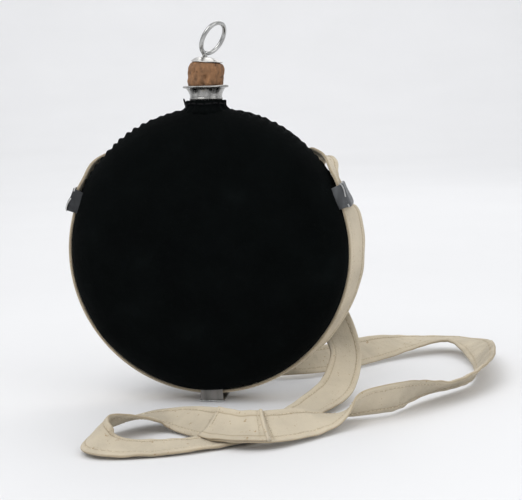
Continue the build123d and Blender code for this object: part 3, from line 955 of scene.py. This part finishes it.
    def make_nap(self, fabric):
        """Short fibres that stand off the wool."""
        draw = random.Random(77)
        rows = self.outline()
        points, faces = [], []
        for _ in range(9000):
            row = rows[int(draw.uniform(0, 1) ** 1.5 * (len(rows) - 2))]
            turn = draw.uniform(0, 2 * math.pi)
            side = draw.choice((-1, 1))
            radius, depth, slope = row
            out = np.array((
                math.cos(turn) * math.cos(slope), side * math.sin(slope),
                math.sin(turn) * math.cos(slope),
            ))
            base = np.array((
                radius * math.cos(turn), side * depth, MIDDLE_Z + radius * math.sin(turn)
            ))
            if base[2] > MIDDLE_Z and math.hypot(base[0], base[1]) < 0.017:
                continue
            lean = np.array([draw.uniform(-1, 1) for _ in range(3)])
            lean = unit(lean - out * lean.dot(out))
            length = draw.uniform(0.0005, 0.0013)
            width = np.cross(out, lean) * 0.00005
            base = base - out * 0.0002
            bend = base + out * length * 0.7 + lean * length * 0.25
            tip = base + out * length * 0.95 + lean * length * 0.9
            start = len(points)
            points.extend([base - width, base + width, bend + width, bend - width, tip])
            faces.append((start, start + 1, start + 2, start + 3))
            faces.append((start + 3, start + 2, start + 4))
        piece = add_mesh("cover_nap", points, faces)
        finish_piece(piece, fabric, "canteen", "wool")


class CANTEEN_OT_loops(bpy.types.Operator):
    """Bend the three sheet-metal sling loops and the wire eye on the left one"""

    bl_idname = "canteen.loops"
    bl_label = "Sling loops"

    def execute(self, context):
        # A lighter metal on the outer plates' edges: a painted highlight along their bright bends.
        bright = metal("painted_highlight_edge", (0.58, 0.58, 0.57, 1), 0.3, (1, 1, 0.2), 0.3)
        # One sheet metal in three tones, one per loop: painted light and shade, darkest where a
        # loop stands in shade.
        painted_shade_tones = {
            "right": (0.13, 0.135, 0.14, 1),
            "bottom": (0.27, 0.26, 0.245, 1),
            "left": (0.055, 0.057, 0.06, 1),
        }
        for name, angle in LOOP_ANGLES.items():
            piece = self.make_loop("loop_" + name, angle)
            sheet = metal("loop_sheet_shaded_" + name, painted_shade_tones[name], 0.42, (1, 1, 0.2), 0.35)
            piece.data.materials.append(sheet)
            finish_piece(piece, bright, "canteen", "loop_metal", "sling_loop_" + name)
        self.make_eye()
        return {"FINISHED"}

    def make_loop(self, name, angle):
        """Walls and feet bent from one strip, under a thicker outer plate."""
        half_depth = (LOOP_HIGH.y - LOOP_LOW.y) / 2 - 0.0006
        length = LOOP_HIGH.x - LOOP_LOW.x - 0.0012
        plate_in = MIDDLE_Z - 0.0011
        work = bmesh.new()
        steps = 24
        wall = 0.0008
        foot_radius = SHELL_RADIUS - 0.001
        profile = [
            (half_depth - 0.0004, foot_radius - 0.0012),
            (half_depth - 0.0002, foot_radius + 0.0016),
            (half_depth, foot_radius + 0.0032),
            (half_depth + 0.0002, foot_radius + 0.0052),
            (half_depth, plate_in),
        ]
        for side in (-1, 1):
            grid = []
            for depth, radius in profile:
                row = []
                for step in range(steps + 1):
                    share = step / steps * 2 - 1
                    bow = 0.00035 * (1 - share**2)
                    dimple = 0.00055 * math.exp(-(((abs(share) - 0.5) / 0.16) ** 2))
                    dimple *= math.exp(-(((radius - foot_radius - 0.0045) / 0.0016) ** 2))
                    y = side * (depth + bow - dimple)
                    narrow = 1 - 0.05 * (plate_in - radius) / 0.008
                    row.append(Vector((radius, y, share * length / 2 * narrow)))
                grid.append(row)
            self.add_sheet(work, grid, Vector((0, -side * wall, 0)), False)
        grid = []
        for row_number in range(15):
            share_y = row_number / 14 * 2 - 1
            row = []
            for step in range(steps + 1):
                share = step / steps * 2 - 1
                wave = 0.00075 * math.sin(share * math.pi * 0.95) * abs(share_y) ** 3
                curl = -0.0010 * max(0, abs(share_y) - 0.82) / 0.18
                edge_y = share_y * (half_depth + 0.0006)
                edge_y = edge_y + 0.0005 * math.sin(share * math.pi) * share_y**3
                lift = plate_in + curl + wave * (1 if share_y < 0 else -1)
                end_curl = -0.0005 * max(0, abs(share) - 0.86) / 0.14
                flat = 1.0 if name != "loop_bottom" else 0.15
                row.append(Vector((
                    plate_in + (lift - plate_in) * flat + end_curl * flat, edge_y,
                    share * (length / 2 + 0.0005),
                )))
            grid.append(row)
        # The outer plate's edges take the painted highlight.
        self.add_sheet(work, grid, Vector((0.001, 0, 0)), True)
        bmesh.ops.recalc_face_normals(work, faces=work.faces)
        place = Matrix.Translation((0, 0, MIDDLE_Z)) @ Matrix.Rotation(-angle, 4, "Y")
        bmesh.ops.transform(work, matrix=place, verts=work.verts)
        mesh = bpy.data.meshes.new(name)
        work.to_mesh(mesh)
        work.free()
        mesh.shade_smooth()
        piece = bpy.data.objects.new(name, mesh)
        bpy.context.scene.collection.objects.link(piece)
        add_modifier(piece, "BEVEL", width=0.00022, segments=2, angle_limit=math.radians(50))
        return piece

    def add_sheet(self, work, grid, thickness, painted_highlight_edges):
        """A sheet with thickness over a grid of points; its edges may take the second material, a
        painted highlight.
        """
        near = [[work.verts.new(p) for p in row] for row in grid]
        away = [[work.verts.new(p + thickness) for p in row] for row in grid]
        rows, columns = len(grid), len(grid[0])
        flats, edges = [], []
        for i in range(rows - 1):
            for j in range(columns - 1):
                flats.append((near[i][j], near[i][j + 1], near[i + 1][j + 1], near[i + 1][j]))
                flats.append((away[i][j], away[i + 1][j], away[i + 1][j + 1], away[i][j + 1]))
        for i in range(rows - 1):
            for j in (0, columns - 1):
                edges.append((near[i][j], near[i + 1][j], away[i + 1][j], away[i][j]))
        for j in range(columns - 1):
            for i in (0, rows - 1):
                edges.append((near[i][j], away[i][j], away[i][j + 1], near[i][j + 1]))
        for corners in flats:
            work.faces.new(corners)
        for corners in edges:
            work.faces.new(corners).material_index = int(painted_highlight_edges)

    def make_eye(self):
        """A wire staple soldered to the left loop's outer plate."""
        middle = (STAPLE_LOW + STAPLE_HIGH) / 2
        out = Vector((math.cos(LOOP_ANGLES["left"]), 0, math.sin(LOOP_ANGLES["left"])))
        up = Vector((-out.z, 0, out.x)) * -1
        base = Vector((middle.x, 0, middle.z)) - out * 0.0014
        line = []
        for angle in np.linspace(-0.15, math.pi + 0.15, 20):
            reach = out * (0.0026 * math.sin(angle)) + up * (0.0021 * math.cos(angle))
            line.append(base + reach)
        piece = add_mesh("wire_eye", *tube_parts(line, 0.00065, 10))
        wire = metal("staple_wire", (0.5, 0.5, 0.49, 1), 0.3, (1, 1, 1), 0.3)
        finish_piece(piece, wire, "canteen", "wire", "chain_staple")


class CANTEEN_OT_spout(bpy.types.Operator):
    """Turn the spout with its flare, rolled lip and soldered foot"""

    bl_idname = "canteen.spout"
    bl_label = "Spout"

    def execute(self, context):
        top = SPOUT_HIGH.z
        flange = SPOUT_HIGH.x
        neck = 0.0108
        outline = [
            (0.00985, SPOUT_LOW.z), (0.0099, top - 0.0066), (0.0106, top - 0.0046),
            (0.0121, top - 0.0012), (0.0133, top - 0.0004), (flange - 0.0012, top),
            (flange - 0.0003, top - 0.0003), (flange, top - 0.0009),
            (flange - 0.0003, top - 0.0015), (flange - 0.0014, top - 0.0017),
            (flange - 0.0026, top - 0.0020), (0.0124, top - 0.0032), (0.0113, top - 0.0052),
            (neck, top - 0.0071), (neck + 0.0001, top - 0.0082), (neck + 0.0006, top - 0.0087),
            (neck + 0.0006, top - 0.0092), (neck + 0.0001, top - 0.0097),
            (neck + 0.0003, top - 0.0115), (neck + 0.0006, top - 0.0150),
            (neck + 0.0006, SPOUT_LOW.z),
        ]
        dents = ripples(61, 5, 3.0, 0.9)

        def worn(radius, height, turn):
            out = max(0, radius - 0.0112) / 0.0046
            sideways = 0.00012 * float(dents(turn, 0.0)) * out
            upward = 0.0002 * float(dents(turn, 2.0)) * out
            return radius + sideways, height + upward

        spout = turned("spout_metal_neck", outline, 96, worn)
        add_modifier(spout, "SUBSURF", levels=1, render_levels=2)
        bright = metal("tinned_spout", (0.40, 0.395, 0.38, 1), 0.26, (1, 1, 0.06), 0.6)
        finish_piece(spout, bright, "canteen", "spout_metal", "spout")
        return {"FINISHED"}


class CANTEEN_OT_stopper(bpy.types.Operator):
    """Make the cork, its domed cap and the bent wire pull ring"""

    bl_idname = "canteen.stopper"
    bl_label = "Stopper"

    def execute(self, context):
        settings = context.scene.canteen_stopper
        self.make_cork(settings)
        self.make_cap()
        self.make_ring(settings)
        return {"FINISHED"}

    def make_cork(self, settings):
        """The tapered cork, pitted where it stands above the spout."""
        top, low = CORK_HIGH.z, CORK_LOW.z
        wide = CORK_HIGH.x * 0.965
        mouth = SPOUT_HIGH.z
        hole = 0.0015
        outline = [
            (hole, low), (0.0055, low), (0.0088, low), (0.00935, low + 0.0006),
            (0.0094, low + 0.006), (0.00965, mouth - 0.0080), (0.0097, mouth - 0.0068),
            (0.0113, mouth - 0.0014),
        ]
        for step in range(22):
            share = step / 21
            radius = 0.0119 + (wide - 0.0119) * min(1, share * 1.35) ** 0.8
            radius -= 0.0012 * max(0, share - 0.8) / 0.2
            outline.append((radius, mouth + 0.0002 + share * (top - mouth - 0.0024)))
        outline += [
            (wide - 0.0018, top - 0.0017), (wide - 0.003, top - 0.0011),
            (0.007, top - 0.0002), (hole, top),
        ]
        bumps = ripples(71, 16, 0.012, 0.0035)
        draw = random.Random(72)
        pits = []
        for _ in range(18):
            pit_turn = draw.uniform(0, 2 * math.pi)
            pit_height = mouth + draw.uniform(0.002, 0.0155)
            pits.append((pit_turn, pit_height, draw.uniform(0.0004, 0.0011)))
        pits.append((math.radians(-82), mouth + 0.0054, 0.0016))

        def weathered(radius, height, turn):
            if radius < 0.0112 or height < mouth:
                return radius, height
            shift = 0.00022 * float(bumps(turn * 0.012, height))
            for pit_turn, pit_height, size in pits:
                apart = (turn - pit_turn + math.pi) % (2 * math.pi) - math.pi
                gap = math.hypot(apart * radius, (height - pit_height) * 1.4)
                shift -= 1.1 * size * math.exp(-((gap / size) ** 2))
            return radius + shift, height

        cork = turned("cork_bung", outline, 168, weathered)
        self.lean_over(cork)
        add_modifier(cork, "SUBSURF", levels=1, render_levels=1)
        finish_piece(cork, cork_bark(settings.cork_colour), "stopper", "cork", "cork")

    def lean_over(self, piece):
        """Tips the worn top of the stopper to one side, round the hole for the shank."""
        mouth = SPOUT_HIGH.z
        for vertex in piece.data.vertices:
            share = min(1, max(0, (vertex.co.z - mouth) / (CAP_LOW.z - mouth)))
            off_hole = min(1, max(0, vertex.co.xy.length - 0.002) / 0.009)
            vertex.co.z -= 0.09 * vertex.co.x * share
            vertex.co.x += 0.0015 * share**1.5 * off_hole

    def make_cap(self):
        """The domed cap, slightly hammered, with its edge pressed into the cork."""
        low, top, wide = CAP_LOW.z - 0.0011, CAP_HIGH.z, CAP_HIGH.x
        rise = top - low
        outer = [(0.0015, top + 0.0001), (0.003, top - 0.0002)]
        for share in np.linspace(0.4, 0.97, 9):
            outer.append((wide * share, low + 0.0006 + (rise - 0.0006) * (1 - share**2.2)))
        outline = outer + [
            (wide, low + 0.0007), (wide, low + 0.0002), (wide - 0.0006, low),
            (wide - 0.0016, low + 0.0003), (wide * 0.6, low + rise * 0.45),
            (0.0015, low + rise * 0.72),
        ]
        dents = ripples(81, 7, 0.02, 0.006)

        def hammered(radius, height, turn):
            x, y = radius * math.cos(turn), radius * math.sin(turn)
            return radius, height + 0.00014 * float(dents(x, y))

        cap = turned("cap_dome", outline, 96, hammered)
        self.lean_over(cap)
        add_modifier(cap, "SUBSURF", levels=1, render_levels=2)
        bright = metal("tinned_cap", (0.60, 0.59, 0.57, 1), 0.3, (1, 1, 1), 0.35)
        finish_piece(cap, bright, "stopper", "spout_metal", "stopper_cap")

    def make_ring(self, settings):
        """One wire: up the cork, round in an eye, and back against its own foot."""
        wire = settings.wire_radius
        lean, face = math.radians(31), math.radians(62.6)
        up = Vector((math.sin(lean), 0, math.cos(lean)))
        normal = Vector((
            -math.sin(face) * math.cos(lean), math.cos(face), math.sin(face) * math.sin(lean)
        ))
        beside = up.cross(normal)
        radius = 0.0114
        foot = Vector((0, 0, CAP_HIGH.z + wire + 0.0007))
        middle = foot + up * radius
        line = [Vector((0, 0, z)) for z in np.linspace(SHANK_FOOT_Z, foot.z - 0.0052, 14)]
        line += [Vector((0, 0, foot.z - 0.0034)), Vector((0.0001, 0, foot.z - 0.0016))]
        for angle in np.radians(np.linspace(12, 352, 76)):
            out = -up * math.cos(angle) + beside * (0.88 * math.sin(angle))
            open_end = 0.0003 * max(0, math.degrees(angle) - 300) / 52
            line.append(middle + out * (radius - open_end) + normal * open_end)
        ring = add_mesh("wire_pull_ring", *tube_parts(line, wire, 16))
        bright = metal("ring_wire", (0.47, 0.47, 0.46, 1), 0.2, (1, 1, 1), 0.3)
        finish_piece(ring, bright, "ring", "wire", "pull_ring")


class CANTEEN_OT_hidden_parts(bpy.types.Operator):
    """Give the shells, the solder, the washer and the nut their metals"""

    bl_idname = "canteen.hidden_parts"
    bl_label = "Shells and fixings"

    def execute(self, context):
        tin = metal("tin_plate", (0.50, 0.50, 0.49, 1), 0.4, (1, 1, 0.3), 0.35)
        dull = metal("soft_solder", (0.42, 0.42, 0.42, 1), 0.5, (1, 1, 1), 0.4)
        dark = metal("blued_nut", (0.22, 0.22, 0.23, 1), 0.4, (1, 1, 1), 0.3)
        finishes = {
            "front_shell": tin, "back_shell": tin, "rim_solder": dull, "spout_solder": dull,
            "loop_solder": dull, "stopper_washer": tin, "stopper_nut": dark,
        }
        for node_name, material in finishes.items():
            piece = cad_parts[node_name]
            piece.data.materials.clear()
            piece.data.materials.append(material)
        return {"FINISHED"}


class CANTEEN_PT_panel(bpy.types.Panel):
    """Lists the canteen's pieces and their settings"""

    bl_idname = "CANTEEN_PT_panel"
    bl_label = "Canteen"
    bl_space_type = "VIEW_3D"
    bl_region_type = "UI"
    bl_category = "Canteen"

    def draw(self, context):
        layout = self.layout
        for group in (context.scene.canteen_stage, context.scene.canteen_sling,
                      context.scene.canteen_cover, context.scene.canteen_stopper):
            for key in group.bl_rna.properties.keys():
                if key not in ("rna_type", "name"):
                    layout.prop(group, key)
        for operator in OPERATORS:
            layout.operator(operator.bl_idname)


SETTINGS = {
    "canteen_stage": StageSettings,
    "canteen_sling": SlingSettings,
    "canteen_cover": CoverSettings,
    "canteen_stopper": StopperSettings,
}
OPERATORS = [
    CANTEEN_OT_stage,
    CANTEEN_OT_sling,
    CANTEEN_OT_covers,
    CANTEEN_OT_loops,
    CANTEEN_OT_spout,
    CANTEEN_OT_stopper,
    CANTEEN_OT_hidden_parts,
]


def register():
    for group in SETTINGS.values():
        bpy.utils.register_class(group)
    for name, group in SETTINGS.items():
        setattr(bpy.types.Scene, name, bpy.props.PointerProperty(type=group))
    for operator in OPERATORS:
        bpy.utils.register_class(operator)
    bpy.utils.register_class(CANTEEN_PT_panel)


def unregister():
    bpy.utils.unregister_class(CANTEEN_PT_panel)
    for operator in reversed(OPERATORS):
        bpy.utils.unregister_class(operator)
    for name in SETTINGS:
        delattr(bpy.types.Scene, name)
    for group in SETTINGS.values():
        bpy.utils.unregister_class(group)


def main():
    register()
    bpy.ops.canteen.stage()
    bpy.ops.canteen.sling()
    bpy.ops.canteen.covers()
    bpy.ops.canteen.loops()
    bpy.ops.canteen.spout()
    bpy.ops.canteen.stopper()
    bpy.ops.canteen.hidden_parts()


if __name__ == "__main__":
    main()
